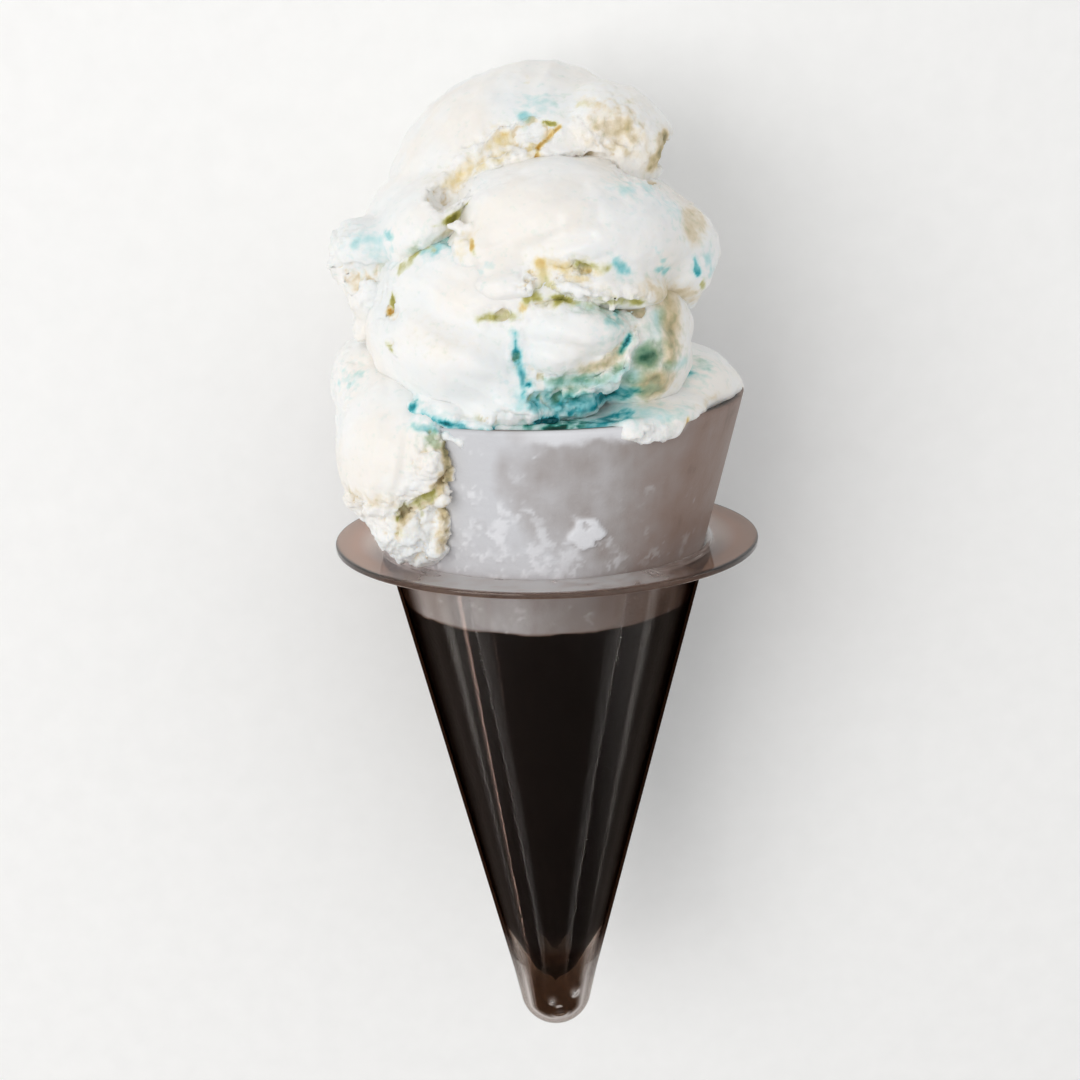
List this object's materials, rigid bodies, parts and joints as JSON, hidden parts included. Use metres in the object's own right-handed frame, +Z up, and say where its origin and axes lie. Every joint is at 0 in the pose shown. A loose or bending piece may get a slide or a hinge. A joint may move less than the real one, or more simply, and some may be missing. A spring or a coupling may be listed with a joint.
{
  "type": "ice cream cone",
  "caption": "Filled dark cocoa cone heaped with blue-marbled white ice cream, standing in a clear flanged plastic sleeve and lying on its back.",
  "frame": {"origin": "middle of the base: half way along the cone, under its axis, on the surface it lies on", "axes": "+Y along the cone's axis from its tip to the ice cream, +Z up towards the shown side, +X to the right of the shown side"},
  "size_m": [0.0668, 0.158, 0.0667],
  "materials": {
    "clear_plastic": "thin clear moulded plastic with a slight smoke tint",
    "cocoa_cone": "smooth dark cocoa, frosted grey-white on its upper band",
    "ice_cream": "soft white ice cream, smooth where scooped and crumbly where torn, marbled with teal"
  },
  "bodies": {
    "root": {"sleeve": "clear_plastic", "cone": "cocoa_cone", "filling": "ice_cream", "scoop_bottom": "ice_cream", "scoop_middle": "ice_cream", "scoop_top": "ice_cream", "side_lump": "ice_cream"}
  },
  "joints": []
}
